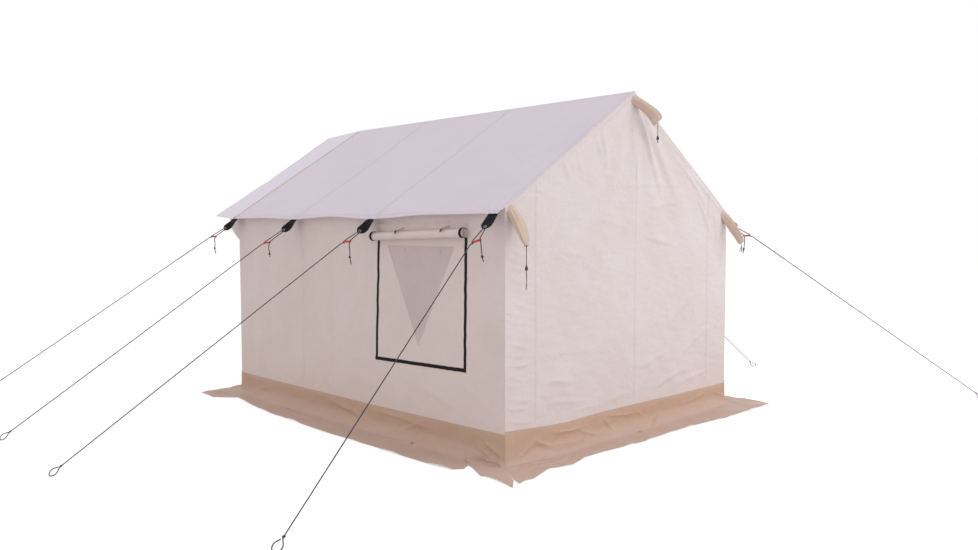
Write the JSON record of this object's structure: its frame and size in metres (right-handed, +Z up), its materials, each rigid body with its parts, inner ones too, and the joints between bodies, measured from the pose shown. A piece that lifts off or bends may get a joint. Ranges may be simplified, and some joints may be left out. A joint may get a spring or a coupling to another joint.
{
  "type": "canvas wall tent",
  "caption": "Ridge wall tent of pale canvas with a porch overhang, dark skirt, side window with a roll-up storm flap, hinged door flaps, inside pole frame and guy lines with sliders",
  "frame": {"origin": "on the ground under the middle of the tent's outline, skirt and porch overhang included, guy lines left out", "axes": "+Z up, +Y along the ridge from the plain rear gable to the door and porch, +X to the right when looking along +Y; the window is on the -X side"},
  "size_m": [6.2315, 5.2937, 2.26],
  "materials": {
    "roof_canvas": "matt off-white cotton canvas",
    "porch_canvas": "matt off-white cotton canvas",
    "wall_canvas": "matt off-white cotton canvas",
    "sod_cloth": "brown coated cloth",
    "sleeve_canvas": "matt beige canvas",
    "black_tape": "black woven tape",
    "window_net": "grey insect net",
    "rope": "dark braided cord",
    "red_plastic": "moulded red plastic",
    "black_plastic": "moulded black plastic",
    "pole_metal": "drawn tube"
  },
  "bodies": {
    "tent": {"rear_frame": "pole_metal", "middle_frame": "pole_metal", "front_frame": "pole_metal", "ridge_pole": "pole_metal", "eave_pole_left": "pole_metal", "eave_pole_right": "pole_metal", "roof_left": "roof_canvas", "roof_right": "roof_canvas", "porch_overhang": "porch_canvas", "porch_gusset_left": "wall_canvas", "porch_gusset_right": "wall_canvas", "side_wall_left": "wall_canvas", "side_wall_right": "wall_canvas", "rear_wall": "wall_canvas", "front_wall": "wall_canvas", "sod_cloth_rear": "sod_cloth", "sod_cloth_left": "sod_cloth", "sod_cloth_right": "sod_cloth", "sod_cloth_front_left": "sod_cloth", "sod_cloth_front_right": "sod_cloth", "window_mesh": "window_net", "window_tape": "black_tape", "storm_flap_sheet": "wall_canvas", "storm_flap_tie_rear": "black_tape", "storm_flap_tie_front": "black_tape", "pole_sleeve_ridge": "sleeve_canvas", "pole_sleeve_left": "sleeve_canvas", "pole_sleeve_right": "sleeve_canvas", "drawcord_ridge": "rope", "drawcord_left": "rope", "drawcord_right": "rope", "guy_pad_rear_left": "black_tape", "guy_line_rear_left": "rope", "guy_pad_second_left": "black_tape", "guy_line_second_left": "rope", "guy_pad_third_left": "black_tape", "guy_line_third_left": "rope", "guy_pad_front_left": "black_tape", "guy_line_front_left": "rope", "guy_pad_rear_right": "black_tape", "guy_line_rear_right": "rope", "guy_pad_second_right": "black_tape", "guy_line_second_right": "rope", "guy_pad_third_right": "black_tape", "guy_line_third_right": "rope", "guy_pad_front_right": "black_tape", "guy_line_front_right": "rope"},
    "slider_rear_left": {"guy_slider_rear_left": "red_plastic"},
    "slider_second_left": {"guy_slider_second_left": "red_plastic"},
    "slider_third_left": {"guy_slider_third_left": "red_plastic"},
    "slider_front_left": {"guy_slider_front_left": "red_plastic"},
    "slider_rear_right": {"guy_slider_rear_right": "red_plastic"},
    "slider_second_right": {"guy_slider_second_right": "red_plastic"},
    "slider_third_right": {"guy_slider_third_right": "red_plastic"},
    "slider_front_right": {"guy_slider_front_right": "red_plastic"},
    "storm_roll": {"storm_flap_roll": "wall_canvas"},
    "door_left": {"door_flap_left": "wall_canvas"},
    "door_right": {"door_flap_right": "wall_canvas"},
    "lock_ridge": {"cord_lock_ridge": "black_plastic"},
    "lock_left": {"cord_lock_left": "black_plastic"}
  },
  "joints": [
    {"name": "slider_rear_left_slide", "type": "slide", "parent": "tent", "child": "slider_rear_left", "axis": [-0.7213, -0.1139, -0.6832], "range_m": [0, 0.3]},
    {"name": "slider_second_left_slide", "type": "slide", "parent": "tent", "child": "slider_second_left", "axis": [-0.7831, 0.1879, -0.5929], "range_m": [0, 0.3]},
    {"name": "slider_third_left_slide", "type": "slide", "parent": "tent", "child": "slider_third_left", "axis": [-0.7691, 0.2391, -0.5927], "range_m": [0, 0.3]},
    {"name": "slider_front_left_slide", "type": "slide", "parent": "tent", "child": "slider_front_left", "axis": [-0.7419, 0.3409, -0.5774], "range_m": [0, 0.3]},
    {"name": "slider_rear_right_slide", "type": "slide", "parent": "tent", "child": "slider_rear_right", "axis": [0.5918, -0.572, -0.568], "range_m": [0, 0.3]},
    {"name": "slider_second_right_slide", "type": "slide", "parent": "tent", "child": "slider_second_right", "axis": [0.7426, -0.2343, -0.6275], "range_m": [0, 0.3]},
    {"name": "slider_third_right_slide", "type": "slide", "parent": "tent", "child": "slider_third_right", "axis": [0.7915, 0.0385, -0.6099], "range_m": [0, 0.3]},
    {"name": "slider_front_right_slide", "type": "slide", "parent": "tent", "child": "slider_front_right", "axis": [0.7593, 0.1822, -0.6247], "range_m": [0, 0.3]},
    {"name": "storm_flap_unroll", "type": "slide", "parent": "tent", "child": "storm_roll", "axis": [0, 0, -1], "range_m": [0, 0.78], "deforming": ["storm_flap_sheet"]},
    {"name": "door_left_swing", "type": "hinge", "parent": "tent", "child": "door_left", "pos_m": [-0.475, 1.3895, 0.87], "axis": [0, 0, 1], "range_deg": [0, 120]},
    {"name": "door_right_swing", "type": "hinge", "parent": "tent", "child": "door_right", "pos_m": [0.475, 1.3895, 0.87], "axis": [0, 0, -1], "range_deg": [0, 120]},
    {"name": "cord_lock_ridge_slide", "type": "slide", "parent": "tent", "child": "lock_ridge", "axis": [0, 0, 1], "range_m": [-0.003, 0.085]},
    {"name": "cord_lock_left_slide", "type": "slide", "parent": "tent", "child": "lock_left", "axis": [0, 0, 1], "range_m": [-0.076, 0.105]}
  ]
}
